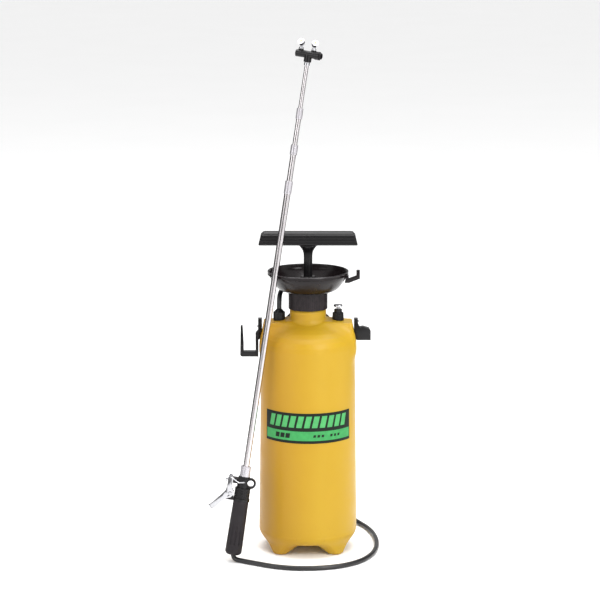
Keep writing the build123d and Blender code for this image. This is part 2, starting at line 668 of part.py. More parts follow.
valve_foot = grip_len
flange_len = 4.5
barrel_valve_r = 11.0
valve_top = valve_foot + valve_len
boss_s = pivot_s + spindle_arm
eye_x = 12.2
eye_s = 127.5
lug_half = cheek_half - sheet - part_gap
boss_end = -19.0
spring_seat = boss_end + 1.5
spindle_collar = -8.4
spindle_r = 2.0
with BuildPart() as valve_body:
    # flange with a tongue towards the lever, then the barrel
    with BuildSketch(lance.offset(valve_foot)):
        Circle(grip_r_high + 1.2)
        with Locations((-grip_r_high - 5.0, 0)):
            Rectangle(18.0, 2 * lug_half)
    extrude(amount=flange_len)
    with BuildSketch(lance.offset(valve_foot + flange_len)):
        Circle(barrel_valve_r)
    extrude(amount=valve_len - flange_len - 4.0)
    with BuildSketch(lance.offset(valve_top - 4.0)):
        Circle(barrel_valve_r - 1.5)
    extrude(amount=4.0)
    # square shoulder block and the boss that guides the spindle
    with BuildSketch(side.offset(-9.0)):
        with Locations((-2.7, 131.0)):
            Rectangle(15.6, 12.0)
    extrude(amount=18.0)
    with BuildSketch(Plane(origin=lance_point(-8.0, boss_s), x_dir=depth, z_dir=-across)):
        Circle(6.0)
    extrude(amount=-boss_end - 8.0)
    # ears for the lever's pin
    with BuildSketch(side.offset(-lug_half)):
        with BuildLine():
            Polyline((pivot_x - 4.5, valve_foot + 1.0), (-14.3, valve_foot + 1.0), (-14.3, valve_foot + 8.0),
                     (pivot_x + 4.2, pivot_s + 2.0), (pivot_x + 1.5, pivot_s + 4.2),
                     (pivot_x - 1.5, pivot_s + 4.2), (pivot_x - 4.2, pivot_s + 1.5),
                     (pivot_x - 4.5, valve_foot + 1.0))
        make_face()
    extrude(amount=2 * lug_half)
    # hanging eye, with a flat on each side of the barrel so that its rim is the same thickness all round
    with BuildSketch(side.offset(-eye_thick / 2)):
        with Locations((eye_x, eye_s)):
            Circle(eye_r + eye_rim)
        with Locations((eye_x - 6.0, eye_s)):
            Rectangle(12.0, 2 * eye_r + 6.5)
    extrude(amount=eye_thick)
    for flat in (-barrel_valve_r - 1.0, eye_thick / 2):
        with BuildSketch(side.offset(flat)):
            with Locations((eye_x - eye_r - 0.6, eye_s)):
                Rectangle(2 * eye_rim + 2 * eye_r, 2 * (eye_r + eye_rim), align=(Align.MIN, Align.CENTER))
        extrude(amount=barrel_valve_r + 1.0 - eye_thick / 2, mode=Mode.SUBTRACT)
    with BuildSketch(side.offset(-12.0)):
        with Locations((eye_x, eye_s)):
            Circle(eye_r)
    extrude(amount=24.0, mode=Mode.SUBTRACT)
    # pin hole
    with BuildSketch(side.offset(-12.0)):
        with Locations((pivot_x, pivot_s)):
            Circle(pin_r)
    extrude(amount=24.0, mode=Mode.SUBTRACT)
    # water way and tube socket
    with BuildSketch(lance.offset(valve_foot)):
        Circle(feed_r)
    extrude(amount=8.0, mode=Mode.SUBTRACT)
    with BuildSketch(lance.offset(valve_foot)):
        Circle(2.4)
    extrude(amount=valve_len, mode=Mode.SUBTRACT)
    with BuildSketch(lance.offset(tube_foot_s[0])):
        Circle(tube_r)
    extrude(amount=valve_len, mode=Mode.SUBTRACT)
    # spindle bore and the wider chamber of its spring
    with BuildSketch(Plane(origin=lance_point(-3.6, boss_s), x_dir=depth, z_dir=-across)):
        Circle(spindle_r + run_fit)
    extrude(amount=20.0, mode=Mode.SUBTRACT)
    with BuildSketch(Plane(origin=lance_point(spindle_collar + 1.8, boss_s), x_dir=depth, z_dir=-across)):
        Circle(3.9)
    extrude(amount=spindle_collar + 1.8 - spring_seat, mode=Mode.SUBTRACT)
finish(valve_body, "valve_body")

collar_low = valve_foot + flange_len + 0.5
with BuildPart() as ribbed_collar:
    with BuildSketch(lance.offset(collar_low)):
        Circle(13.6)
        Circle(barrel_valve_r, mode=Mode.SUBTRACT)
        with PolarLocations(13.6, 20):
            Circle(0.8, mode=Mode.SUBTRACT)
    extrude(amount=18.0)
    for groove in (3.2, 8.0, 12.8):
        with BuildSketch(lance.offset(collar_low + groove)):
            Circle(15.0)
            Circle(12.7, mode=Mode.SUBTRACT)
        extrude(amount=1.4, mode=Mode.SUBTRACT)
finish(ribbed_collar, "ribbed_collar")

bail_r = 1.1
bail_top_x = -23.4
bail_top_s = 135.6
bail_y = barrel_valve_r + bail_r + part_gap

fork_up = 12.0

# lever: a pressed sheet channel whose two cheeks straddle the ears
lever_lift_x = -26.4        # face of the cross plate that pulls the spindle's head
with BuildPart() as trigger_lever:
    with BuildSketch(side.offset(-cheek_half)):
        with BuildLine():
            Polyline((-52.3, 81.6), (-47.4, 74.8), (-44.6, 77.4), (-31.0, 93.4), (-26.0, 96.4),
                     (pivot_x + 1.5, pivot_s - 6.6), (pivot_x + 6.2, pivot_s - 1.0), (pivot_x + 5.4, pivot_s + 4.0),
                     (-19.4, 118.0), (-19.4, 134.0), (-21.6, 138.5), (-25.2, 138.5), (lever_lift_x - 1.4, 134.0),
                     (lever_lift_x - 1.4, 119.0), (-29.4, 110.0), (-33.8, 103.6), (-52.3, 81.6))
        make_face()
    extrude(amount=2 * cheek_half)
    with BuildSketch(side.offset(-cheek_half + sheet)):
        with BuildLine():
            Polyline((-50.0, 81.9), (-46.0, 76.2), (-43.0, 70.0), (-10.0, 70.0), (-10.0, 142.0),
                     (lever_lift_x, 142.0), (lever_lift_x, 118.6), (-28.0, 109.3), (-32.5, 102.8),
                     (-50.0, 81.9))
        make_face()
    extrude(amount=2 * (cheek_half - sheet), mode=Mode.SUBTRACT)
    with BuildSketch(side.offset(-20.0)):
        with Locations((pivot_x, pivot_s)):
            Circle(pin_r + run_fit)
        with Locations((bail_top_x, bail_top_s)):
            Circle(bail_r + run_fit)
    extrude(amount=40.0, mode=Mode.SUBTRACT)
    # open fork around the spindle
    with BuildSketch(Plane(origin=lance_point(-22.0, boss_s), x_dir=depth, z_dir=-across)):
        with Locations((0, -fork_up / 2 + spindle_r + 1.0)):
            Rectangle(2 * spindle_r + 1.2, fork_up + 2 * spindle_r)
    extrude(amount=12.0, mode=Mode.SUBTRACT)
finish(trigger_lever, "trigger_lever")

with BuildPart() as lever_pin:
    with BuildSketch(side.offset(-cheek_half - 0.8)):
        with Locations((pivot_x, pivot_s)):
            Circle(pin_r)
    extrude(amount=2 * cheek_half + 1.6)
    for face in (-cheek_half - 2.0, cheek_half + 0.8):
        with BuildSketch(side.offset(face)):
            with Locations((pivot_x, pivot_s)):
                Circle(2.8)
        extrude(amount=1.2)
finish(lever_pin, "lever_pin")

head_x = lever_lift_x - 1.4 - 1.4       # inner face of the spindle's head
with BuildPart() as valve_spindle:
    with BuildSketch(Plane(origin=lance_point(-4.2, boss_s), x_dir=depth, z_dir=-across)):
        Circle(spindle_r)
    extrude(amount=-head_x - 4.2 + 2.0)
    with BuildSketch(Plane(origin=lance_point(head_x, boss_s), x_dir=depth, z_dir=-across)):
        Circle(4.4)
    extrude(amount=2.6)
    with BuildSketch(Plane(origin=lance_point(spindle_collar + 1.4, boss_s), x_dir=depth, z_dir=-across)):
        Circle(3.5)
    extrude(amount=1.4)
finish(valve_spindle, "valve_spindle")

valve_wire = 0.35
valve_coil_len = spindle_collar - spring_seat - 2 * valve_wire - 0.2
with BuildPart() as valve_spring:
    with BuildLine():
        valve_coil = Helix(pitch=valve_coil_len / 5, height=valve_coil_len, radius=2.9,
                           center=lance_point(spindle_collar - valve_wire - 0.1, boss_s), direction=-across)
    with BuildSketch(Plane(origin=valve_coil @ 0, z_dir=valve_coil % 0)):
        Circle(valve_wire)
    sweep(is_frenet=True)
finish(valve_spring, "valve_spring")

# wire bail hinged at the lever's top, its feet resting beside the valve body
with BuildPart() as lever_bail:
    with BuildLine():
        bail_path = FilletPolyline(
            lance_point(1.5, 129.5, -bail_y), lance_point(-7.5, 127.8, -bail_y),
            lance_point(bail_top_x, bail_top_s, -bail_y),
            lance_point(bail_top_x, bail_top_s, bail_y),
            lance_point(-7.5, 127.8, bail_y), lance_point(1.5, 129.5, bail_y), radius=1.6)
    with BuildSketch(Plane(origin=bail_path @ 0, z_dir=bail_path % 0)):
        Circle(bail_r)
    sweep(transition=Transition.RIGHT)
finish(lever_bail, "lever_bail")

# ---- lance: tubes -------------------------------------------------------------------------------------------
with BuildPart() as ferrule_nut:
    with BuildSketch(lance.offset(valve_top)):
        Circle(ferrule_r)
        with PolarLocations(ferrule_r, 28):
            Circle(0.4, mode=Mode.SUBTRACT)
        Circle(tube_r, mode=Mode.SUBTRACT)
    extrude(amount=ferrule_len)
finish(ferrule_nut, "ferrule_nut")

tube_names = ("outer_tube", "middle_tube_1", "middle_tube_2", "inner_tube")
tube_top_s = (collar_s[0] + collar_len[0] - 8.0, collar_s[1] + collar_len[1] - 6.0,
              collar_s[2] + collar_len[2] - 6.0, head_s)
for index, tube_name in enumerate(tube_names):
    outside = tube_r - index * (tube_step)
    with BuildPart() as lance_tube:
        with BuildSketch(lance.offset(tube_foot_s[index])):
            Circle(outside)
            Circle(outside - tube_wall, mode=Mode.SUBTRACT)
        extrude(amount=tube_top_s[index] - tube_foot_s[index])
    finish(lance_tube, tube_name)

for index in range(3):
    around = tube_r - index * tube_step
    within = tube_r - (index + 1) * tube_step
    with BuildPart() as lock_collar:
        with BuildSketch(lance.offset(collar_s[index])):
            Circle(collar_r[index])
            with PolarLocations(collar_r[index], 20):
                Circle(0.3, mode=Mode.SUBTRACT)
        extrude(amount=collar_len[index])
        with BuildSketch(lance.offset(collar_s[index])):
            Circle(around + run_fit)
        extrude(amount=tube_top_s[index] + part_gap - collar_s[index], mode=Mode.SUBTRACT)
        with BuildSketch(lance.offset(collar_s[index])):
            Circle(within + run_fit)
        extrude(amount=collar_len[index], mode=Mode.SUBTRACT)
        with BuildSketch(lance.offset(tube_top_s[index] + seal_lift)):
            Circle(within + seal_wall)
        extrude(amount=seal_len, mode=Mode.SUBTRACT)
    finish(lock_collar, f"lock_collar_{index + 1}")
    with BuildPart() as tube_seal:
        with BuildSketch(lance.offset(tube_top_s[index] + seal_lift)):
            Circle(within + seal_wall)
            Circle(within + run_fit, mode=Mode.SUBTRACT)
        extrude(amount=seal_len)
    finish(tube_seal, f"tube_seal_{index + 1}")

# ---- lance: nozzle head --------------------------------------------------------------------------------------
inner_r_out = tube_r - 3 * tube_step
bar_yaw = radians(25.0)
bar_dir = across * cos(bar_yaw) - depth * sin(bar_yaw)
bar_s = head_s + 15.0
bar_half = 22.5
bar_r = 6.2
with BuildPart() as head_ferrule:
    with BuildSketch(lance.offset(head_s - 4.0)):
        Circle(4.9)
        Circle(inner_r_out + run_fit, mode=Mode.SUBTRACT)
    extrude(amount=6.0)
    fillet(edges().filter_by(GeomType.CIRCLE).sort_by(SortBy.RADIUS)[-2:], 0.8)
finish(head_ferrule, "head_ferrule")

stem_at = {"left": -15.0, "right": 9.0}
stem_hole_r = 2.6
bar_plane = Plane(origin=lance_point(0, bar_s) - bar_dir * bar_half, x_dir=along, z_dir=bar_dir)
with BuildPart() as nozzle_tee:
    with BuildSketch(lance.offset(head_s + 2.0)):
        Circle(6.6)
    extrude(amount=bar_s - head_s - 2.0)
    with BuildSketch(bar_plane):
        Circle(bar_r)
    extrude(amount=2 * bar_half)
    with BuildSketch(bar_plane.offset(2 * bar_half - 9.0)):
        Circle(bar_r + 1.0)
    extrude(amount=8.0)
    for place in stem_at.values():
        with BuildSketch(Plane(origin=lance_point(0, bar_s) + bar_dir * place, x_dir=across, z_dir=along)):
            Circle(4.6)
        extrude(amount=8.0)
    # water ways
    with BuildSketch(lance.offset(head_s)):
        Circle(2.0)
    extrude(amount=15.0, mode=Mode.SUBTRACT)
    with BuildSketch(bar_plane.offset(4.0)):
        Circle(2.0)
    extrude(amount=2 * bar_half, mode=Mode.SUBTRACT)
    for place in stem_at.values():
        with BuildSketch(Plane(origin=lance_point(0, bar_s) + bar_dir * place, x_dir=across, z_dir=along)):
            Circle(stem_hole_r + run_fit)
        extrude(amount=9.0, mode=Mode.SUBTRACT)
    with BuildSketch(bar_plane.offset(2 * bar_half - 6.0)):
        Circle(3.6)
    extrude(amount=8.0, mode=Mode.SUBTRACT)
finish(nozzle_tee, "nozzle_tee")

with BuildPart() as tee_plug:
    with BuildSketch(bar_plane.offset(2 * bar_half - 6.0)):
        Circle(3.6)
    extrude(amount=6.0)
    with BuildSketch(bar_plane.offset(2 * bar_half)):
        Circle(5.2)
    extrude(amount=2.2)
    with BuildSketch(bar_plane.offset(2 * bar_half + 0.8)):
        RegularPolygon(2.2, 6)
    extrude(amount=2.0, mode=Mode.SUBTRACT)
finish(tee_plug, "tee_plug")

# two elbow nozzles: a stem in the tee, a round body, and a cap over an orifice disc that looks forward
ball_lift = 16.5
nozzle_tilt = radians(38.0)
for hand, place in stem_at.items():
    spread = 0.35 if hand == "left" else -0.1
    foot = lance_point(0, bar_s) + bar_dir * place
    look = (depth * -cos(nozzle_tilt) + along * sin(nozzle_tilt) - across * spread).normalized()
    ball = foot + along * ball_lift
    face = Plane(origin=ball, x_dir=across.cross(look), z_dir=look)
    with BuildPart() as nozzle_elbow:
        with BuildSketch(Plane(origin=foot + along * 2.4, x_dir=across, z_dir=along)):
            Circle(stem_hole_r)
        extrude(amount=ball_lift - 2.4)
        with BuildSketch(Plane(origin=foot + along * (8.0 + part_gap), x_dir=across, z_dir=along)):
            Circle(4.0)
        extrude(amount=2.4)
        with Locations(Location(ball)):
            Sphere(4.3)
        with BuildSketch(face):
            Circle(3.9)
        extrude(amount=5.5)
        with BuildSketch(face):
            Circle(1.2)
        extrude(amount=6.0, mode=Mode.SUBTRACT)
    finish(nozzle_elbow, f"nozzle_elbow_{hand}")
    with BuildPart() as nozzle_disc:
        with BuildSketch(face.offset(5.5)):
            Circle(3.8)
            Circle(0.6, mode=Mode.SUBTRACT)
        extrude(amount=0.8)
    finish(nozzle_disc, f"nozzle_disc_{hand}")
    with BuildPart() as nozzle_cap:
        with BuildSketch(face.offset(2.4)):
            Circle(5.6)
            Circle(3.9, mode=Mode.SUBTRACT)
        extrude(amount=3.9)
        with BuildSketch(face.offset(6.3)):
            Circle(5.6)
            Circle(2.2, mode=Mode.SUBTRACT)
        extrude(amount=1.2)
    finish(nozzle_cap, f"nozzle_cap_{hand}")

# ---- hose: over the back of the tank, round the floor at the right and front, up into the grip's butt --------
hose_end = lance_point(0, 5.0)
hose_route = [
    (outlet_x, 0.0, outlet_top), (outlet_x, 0.0, 440.0), (-50.0, 4.0, 450.5), (-48.6, 13.5, 456.8),
    (-45.5, 31.0, 459.0), (-41.0, 53.0, 462.0), (-35.5, 76.0, 462.0), (-30.0, 97.0, 448.5),
    (-26.0, 109.5, 421.0), (-22.5, 115.5, 384.0), (-18.0, 119.0, 340.0), (-12.0, 121.0, 294.0),
    (-4.5, 122.5, 248.0), (4.5, 125.0, 203.0), (15.0, 128.5, 160.0), (27.0, 133.5, 119.0),
    (40.5, 139.5, 82.0), (54.5, 144.5, 50.0), (68.5, 146.0, 24.5), (83.0, 139.0, 8.5),
    (97.5, 122.0, hose_r), (110.0, 94.0, hose_r), (119.0, 58.0, hose_r), (123.5, 16.0, hose_r),
    (122.0, -28.0, hose_r), (112.5, -71.0, hose_r), (92.0, -110.0, hose_r), (60.0, -137.5, hose_r),
    (21.0, -150.5, hose_r), (-20.0, -152.5, hose_r), (-57.0, -142.5, hose_r), (-88.0, -124.5, hose_r),
    (-112.0, -109.5, hose_r), (-126.1, -100.9, hose_r), tuple(hose_end - along * 8.6), tuple(hose_end)]
hose_radii = []
for before, corner, after in zip(hose_route, hose_route[1:], hose_route[2:]):
    leg_in = Vector(corner) - Vector(before)
    leg_out = Vector(after) - Vector(corner)
    turn = radians(leg_in.get_angle(leg_out))
    hose_radii.append(0.45 * min(leg_in.length, leg_out.length) / tan(turn / 2))
with BuildPart() as hose:
    with BuildLine():
        hose_path = FilletPolyline(*hose_route, radius=hose_radii)
    with BuildSketch(Plane(origin=hose_path @ 0, z_dir=hose_path % 0)):
        Circle(hose_r)
    sweep()
finish(hose, "hose")
print("hose radii", [round(radius, 1) for radius in hose_radii])
print("hose length", round(hose_path.length, 1), "volume ratio",
      round(hose.part.volume / (pi * hose_r ** 2 * hose_path.length), 4))
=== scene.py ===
"""Looks of a hand-pumped pressure sprayer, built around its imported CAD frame. Metres, +Z up, front = -Y."""
import json
import math

import bmesh
import bpy
import numpy as np
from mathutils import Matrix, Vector


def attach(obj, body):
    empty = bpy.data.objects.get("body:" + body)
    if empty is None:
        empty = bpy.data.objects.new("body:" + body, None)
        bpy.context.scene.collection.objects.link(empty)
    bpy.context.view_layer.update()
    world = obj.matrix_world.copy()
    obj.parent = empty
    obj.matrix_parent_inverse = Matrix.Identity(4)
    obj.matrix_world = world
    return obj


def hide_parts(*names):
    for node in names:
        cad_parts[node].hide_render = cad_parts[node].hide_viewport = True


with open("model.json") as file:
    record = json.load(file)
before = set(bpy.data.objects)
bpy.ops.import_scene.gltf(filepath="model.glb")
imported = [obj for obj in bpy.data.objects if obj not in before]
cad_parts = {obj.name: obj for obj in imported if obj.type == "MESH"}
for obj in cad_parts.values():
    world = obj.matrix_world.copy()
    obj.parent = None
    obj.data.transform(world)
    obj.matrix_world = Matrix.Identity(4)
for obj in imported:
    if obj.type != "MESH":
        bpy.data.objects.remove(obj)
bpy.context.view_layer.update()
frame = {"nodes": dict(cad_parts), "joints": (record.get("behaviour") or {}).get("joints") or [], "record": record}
NODES = frame["nodes"]
MM = 0.001

# ---- places taken from the frame -----------------------------------------------------------------------
JOINT = {j["name"]: j for j in frame["joints"]}
ALONG = Vector(JOINT["tube_1_slide"]["axis"]).normalized()      # up the lance's axis
ACROSS = (-Vector(JOINT["valve_pull"]["axis"])).normalized()    # right across the lance
DEPTH = ALONG.cross(ACROSS)                                     # away from the front
HOSE_END = Vector(JOINT["lance_swing"]["pos_m"])
BUTT = HOSE_END - ALONG * 5 * MM


def lance_point(x, s, y=0.0):
    """Millimetres across, along and behind the lance's axis, as a point in the frame."""
    return BUTT + (ACROSS * x + ALONG * s + DEPTH * y) * MM


# ---- camera --------------------------------------------------------------------------------------------
def make_camera():
    target = Vector((-0.014, 0.0, 0.446))
    elevation = math.radians(11.2)
    distance = 4.375
    data = bpy.data.cameras.new("camera")
    data.lens = 150
    data.sensor_width = 36
    data.clip_end = 200
    camera = bpy.data.objects.new("camera", data)
    bpy.context.scene.collection.objects.link(camera)
    camera.location = target + Vector((0, -math.cos(elevation), math.sin(elevation))) * distance
    camera.rotation_euler = (math.pi / 2 - elevation, 0, 0)
    bpy.context.scene.camera = camera


make_camera()


# ---- mesh helpers --------------------------------------------------------------------------------------
def new_object(name, mesh, smooth=True):
    obj = bpy.data.objects.new(name, mesh)
    bpy.context.scene.collection.objects.link(obj)
    if smooth:
        for face in mesh.polygons:
            face.use_smooth = True
    return obj


def curve_points(name, points):
    """Points along the smooth NURBS line that has these control points."""
    data = bpy.data.curves.new(name, "CURVE")
    data.dimensions = "3D"
    spline = data.splines.new("NURBS")
    spline.points.add(len(points) - 1)
    for target, point in zip(spline.points, points):
        target.co = (*point, 1)
    spline.order_u = 3
    spline.use_endpoint_u = True
    data.resolution_u = 8
    holder = bpy.data.objects.new(name, data)
    bpy.context.scene.collection.objects.link(holder)
    bpy.context.view_layer.update()
    mesh = bpy.data.meshes.new_from_object(holder)
    line = [v.co.copy() for v in mesh.vertices]
    bpy.data.objects.remove(holder)
    bpy.data.curves.remove(data)
    bpy.data.meshes.remove(mesh)
    return line


def tube_mesh(name, line, radius, sides):
    """A tube with closed ends round a line of points."""
    bm = bmesh.new()
    tangents = []
    for i, point in enumerate(line):
        before, after = line[max(i - 1, 0)], line[min(i + 1, len(line) - 1)]
        tangents.append((after - before).normalized())
    normal = tangents[0].orthogonal().normalized()
    rings = []
    for i, point in enumerate(line):
        if i:
            normal = tangents[i - 1].rotation_difference(tangents[i]) @ normal
        normal = (normal - tangents[i] * normal.dot(tangents[i])).normalized()
        side = tangents[i].cross(normal)
        rings.append([bm.verts.new(point + (normal * math.cos(a) + side * math.sin(a)) * radius)
                      for a in (2 * math.pi * k / sides for k in range(sides))])
    for low, high in zip(rings, rings[1:]):
        for k in range(sides):
            bm.faces.new((low[k], low[(k + 1) % sides], high[(k + 1) % sides], high[k]))
    bm.faces.new(list(reversed(rings[0])))
    bm.faces.new(rings[-1])
    bmesh.ops.recalc_face_normals(bm, faces=bm.faces)
    mesh = bpy.data.meshes.new(name)
    bm.to_mesh(mesh)
    bm.free()
    return mesh


# ---- hose ----------------------------------------------------------------------------------------------
HOSE_R = 4.25 * MM
HOSE_SIDES = 24
GRIP_MOUTH = 8.6         # the hose runs straight for this far before the grip, in millimetres
HOSE_ROUTE = [
    (-50.4, 0.0, 430.0), (-50.4, 0.0, 440.0), (-50.0, 4.0, 450.5), (-48.6, 13.5, 456.8),
    (-45.5, 31.0, 459.0), (-41.0, 53.0, 462.0), (-35.5, 76.0, 462.0), (-30.0, 97.0, 448.5),
    (-26.0, 109.5, 421.0), (-22.5, 115.5, 384.0), (-18.0, 119.0, 340.0), (-12.0, 121.0, 294.0),
    (-4.5, 122.5, 248.0), (4.5, 125.0, 203.0), (15.0, 128.5, 160.0), (27.0, 133.5, 119.0),
    (40.5, 139.5, 82.0), (54.5, 144.5, 50.0), (68.5, 146.0, 24.5), (83.0, 139.0, 8.5),
    (97.5, 122.0, 4.25), (110.0, 94.0, 4.25), (119.0, 58.0, 4.25), (123.5, 16.0, 4.25),
    (122.0, -28.0, 4.25), (112.5, -71.0, 4.25), (92.0, -110.0, 4.25), (60.0, -137.5, 4.25),
    (21.0, -150.5, 4.25), (-20.0, -152.5, 4.25), (-57.0, -142.5, 4.25), (-88.0, -124.5, 4.25),
    (-112.0, -109.5, 4.25), (-126.1, -100.9, 4.25)]


def make_hose():
    route = [Vector(p) * MM for p in HOSE_ROUTE]
    route += [HOSE_END - ALONG * GRIP_MOUTH * MM, HOSE_END.copy()]
    line = curve_points("hose_line", route)
    hose = new_object("hose_tube", tube_mesh("hose_tube", line, HOSE_R, HOSE_SIDES))
    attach(hose, "tank_body")
    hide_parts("hose")
    return hose


hose = make_hose()


# ---- shaping helpers -----------------------------------------------------------------------------------
def grid_mesh(name, rings, close_start=True, close_end=True):
    """A closed mesh over rings of points, each ring a list of the same length."""
    bm = bmesh.new()
    made = [[bm.verts.new(point) for point in ring] for ring in rings]
    count = len(rings[0])
    for low, high in zip(made, made[1:]):
        for k in range(count):
            bm.faces.new((low[k], low[(k + 1) % count], high[(k + 1) % count], high[k]))
    if close_start:
        bm.faces.new(list(reversed(made[0])))
    if close_end:
        bm.faces.new(made[-1])
    bmesh.ops.recalc_face_normals(bm, faces=bm.faces)
    mesh = bpy.data.meshes.new(name)
    bm.to_mesh(mesh)
    bm.free()
    return mesh


def sharpen(obj, degrees):
    """Smooth shading, with edges sharper than this angle kept crisp."""
    for face in obj.data.polygons:
        face.use_smooth = True
    obj.data.set_sharp_from_angle(angle=math.radians(degrees))


def dress(piece, body, nodes, material):
    """Puts a finished piece on its body, in place of these CAD nodes."""
    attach(piece, body)
    if nodes:
        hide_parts(*nodes)
    piece.data.materials.clear()
    piece.data.materials.append(material)


def node_body(node):
    """The body that a CAD node moves with."""
    for body, members in frame["record"]["behaviour"]["bodies"].items():
        if node in members:
            return body


def softened(node, width, material, segments=2, angle=30):
    """A copy of a CAD node with its hard edges rounded, as a moulding or a pressing has them."""
    mesh = NODES[node].data.copy()
    bm = bmesh.new()
    bm.from_mesh(mesh)
    bmesh.ops.remove_doubles(bm, verts=bm.verts, dist=2e-6)
    bmesh.ops.dissolve_limit(bm, angle_limit=math.radians(1.0), verts=bm.verts, edges=bm.edges)
    hard = [e for e in bm.edges if len(e.link_faces) == 2 and e.calc_face_angle(0) > math.radians(angle)]
    bmesh.ops.bevel(bm, geom=hard, offset=width, offset_type="WIDTH", segments=segments, profile=0.5,
                    affect="EDGES", clamp_overlap=True)
    bmesh.ops.recalc_face_normals(bm, faces=bm.faces)
    bm.to_mesh(mesh)
    bm.free()
    piece = new_object(f"{node}_soft", mesh)
    sharpen(piece, 50)
    dress(piece, node_body(node), [node], material)


# ---- materials -----------------------------------------------------------------------------------------
def feed(tree, socket, value):
    """Links a node's output into a socket, or sets the socket to a plain value."""
    if isinstance(value, bpy.types.NodeSocket):
        tree.links.new(value, socket)
    else:
        socket.default_value = value


def math_node(tree, operation, first, second):
    node = tree.nodes.new("ShaderNodeMath")
    node.operation = operation
    feed(tree, node.inputs[0], first)
    feed(tree, node.inputs[1], second)
    return node.outputs[0]


class Shader:
    """A material under construction: its node tree, its Principled shader and short ways to add to them."""

    def __init__(self, name, color, roughness, metallic=0.0, **sockets):
        self.material = bpy.data.materials.new(name)
        self.material.use_nodes = True
        self.tree = self.material.node_tree
        self.bsdf = next(n for n in self.tree.nodes if n.type == "BSDF_PRINCIPLED")
        self.bsdf.inputs["Base Color"].default_value = (*color, 1)
        self.bsdf.inputs["Roughness"].default_value = roughness
        self.bsdf.inputs["Metallic"].default_value = metallic
        for socket, value in sockets.items():
            self.bsdf.inputs[socket.replace("_", " ")].default_value = value
        self.coords = self.node("ShaderNodeTexCoord").outputs["Object"]
        self.height = None

    def node(self, kind, **inputs):
        node = self.tree.nodes.new(kind)
        for name, value in inputs.items():
            feed(self.tree, node.inputs[name.replace("_", " ")], value)
        return node

    def link(self, output, socket):
        self.tree.links.new(output, self.bsdf.inputs[socket])

    def math(self, operation, first, second):
        return math_node(self.tree, operation, first, second)

    def stretched(self, scale):
        """Object coordinates scaled along each axis, for streaks."""
        return self.node("ShaderNodeMapping", Vector=self.coords, Scale=scale).outputs["Vector"]

    def noise(self, scale, detail=3.0, vector=None, roughness=0.5):
        node = self.node("ShaderNodeTexNoise", Vector=vector or self.coords, Scale=scale, Detail=detail,
                         Roughness=roughness)
        return node.outputs["Fac"]

    def ramp(self, fac, stops):
        node = self.node("ShaderNodeValToRGB", Fac=fac)
        ramp = node.color_ramp
        while len(ramp.elements) < len(stops):
            ramp.elements.new(0.5)
        for element, (place, color) in zip(ramp.elements, stops):
            element.position = place
            element.color = (*color, 1)
        return node.outputs["Color"]

    def remap(self, value, low, high, to_low, to_high):
        node = self.node("ShaderNodeMapRange", Value=value)
        for name, number in (("From Min", low), ("From Max", high), ("To Min", to_low), ("To Max", to_high)):
            node.inputs[name].default_value = number
        return node.outputs["Result"]

    def mix(self, factor, first, second):
        node = self.tree.nodes.new("ShaderNodeMix")
        node.data_type = "RGBA"
        self.tree.links.new(factor, node.inputs["Factor"])
        for socket, value in ((node.inputs[6], first), (node.inputs[7], second)):
            if isinstance(value, bpy.types.NodeSocket):
                self.tree.links.new(value, socket)
            else:
                socket.default_value = (*value, 1)
        return node.outputs[2]

    def bump(self, height, strength, distance):
        node = self.node("ShaderNodeBump", Height=height, Strength=strength, Distance=distance)
        if self.height:
            self.tree.links.new(self.height, node.inputs["Normal"])
        self.height = node.outputs["Normal"]
        self.link(self.height, "Normal")


def tone(color, factor):
    return tuple(min(1.0, c * factor) for c in color)


def moulded_plastic(name, color, roughness, grain=900.0, grain_depth=0.00005, variation=0.15, coat=0.0,
                    wear=0.0):
    """Injection-moulded plastic: fine grain, faint flow marks in the colour, and uneven gloss."""
    s = Shader(name, color, roughness, Specular_IOR_Level=0.25, Coat_Weight=coat, Coat_Roughness=0.15)
    flow = s.noise(14.0, 4.0)
    base = s.ramp(flow, [(0.3, tone(color, 1 - variation)), (0.7, tone(color, 1 + variation))])
    if wear:
        edge = s.node("ShaderNodeNewGeometry").outputs["Pointiness"]
        patches = s.remap(s.noise(160.0, 4.0), 0.4, 0.6, 0.2, 1.0)
        rub = s.math("MULTIPLY", s.remap(edge, 0.54, 0.62, 0.0, wear), patches)
        base = s.mix(rub, base, tone(color, 3.2))
    s.link(base, "Base Color")
    s.link(s.remap(s.noise(60.0, 3.0), 0.3, 0.7, roughness * 0.85, roughness * 1.2), "Roughness")
    s.bump(s.noise(grain, 2.0), 0.35, grain_depth)
    return s.material


def tank_plastic():
    """Blow-moulded polyethylene: waxy, slow ripples, painted shade that darkens its left side, scuffs near the
    floor.
    """
    s = Shader("tank_plastic", (0.47, 0.285, 0.013), 0.42, Specular_IOR_Level=0.3, Subsurface_Weight=0.08,
               Subsurface_Scale=0.004)
    s.bsdf.inputs["Subsurface Radius"].default_value = (1.0, 0.5, 0.1)
    base = s.ramp(s.noise(6.0, 3.0), [(0.3, (0.45, 0.270, 0.010)), (0.7, (0.49, 0.300, 0.015))])
    place = s.node("ShaderNodeSeparateXYZ", Vector=s.coords)
    # painted shade: the yellow is mixed towards a darker orange across the tank's left side, where less light
    # falls
    painted_shade_left = s.remap(place.outputs["X"], -0.088, 0.02, 0.75, 0.0)
    base = s.mix(painted_shade_left, base, (0.37, 0.165, 0.008))
    low = s.remap(place.outputs["Z"], 0.0, 0.07, 1.0, 0.0)
    scuff = s.noise(240.0, 4.0, s.stretched((1.0, 1.0, 0.3)), 0.7)
    marks = s.math("MULTIPLY", s.remap(scuff, 0.60, 0.68, 0.0, 0.5), low)
    s.link(s.mix(marks, base, (0.30, 0.17, 0.02)), "Base Color")
    s.link(s.remap(s.noise(35.0, 4.0), 0.3, 0.7, 0.36, 0.48), "Roughness")
    s.bump(s.noise(9.0, 2.0), 0.4, 0.0012)
    s.bump(s.noise(650.0, 2.0), 0.2, 0.00006)
    return s.material


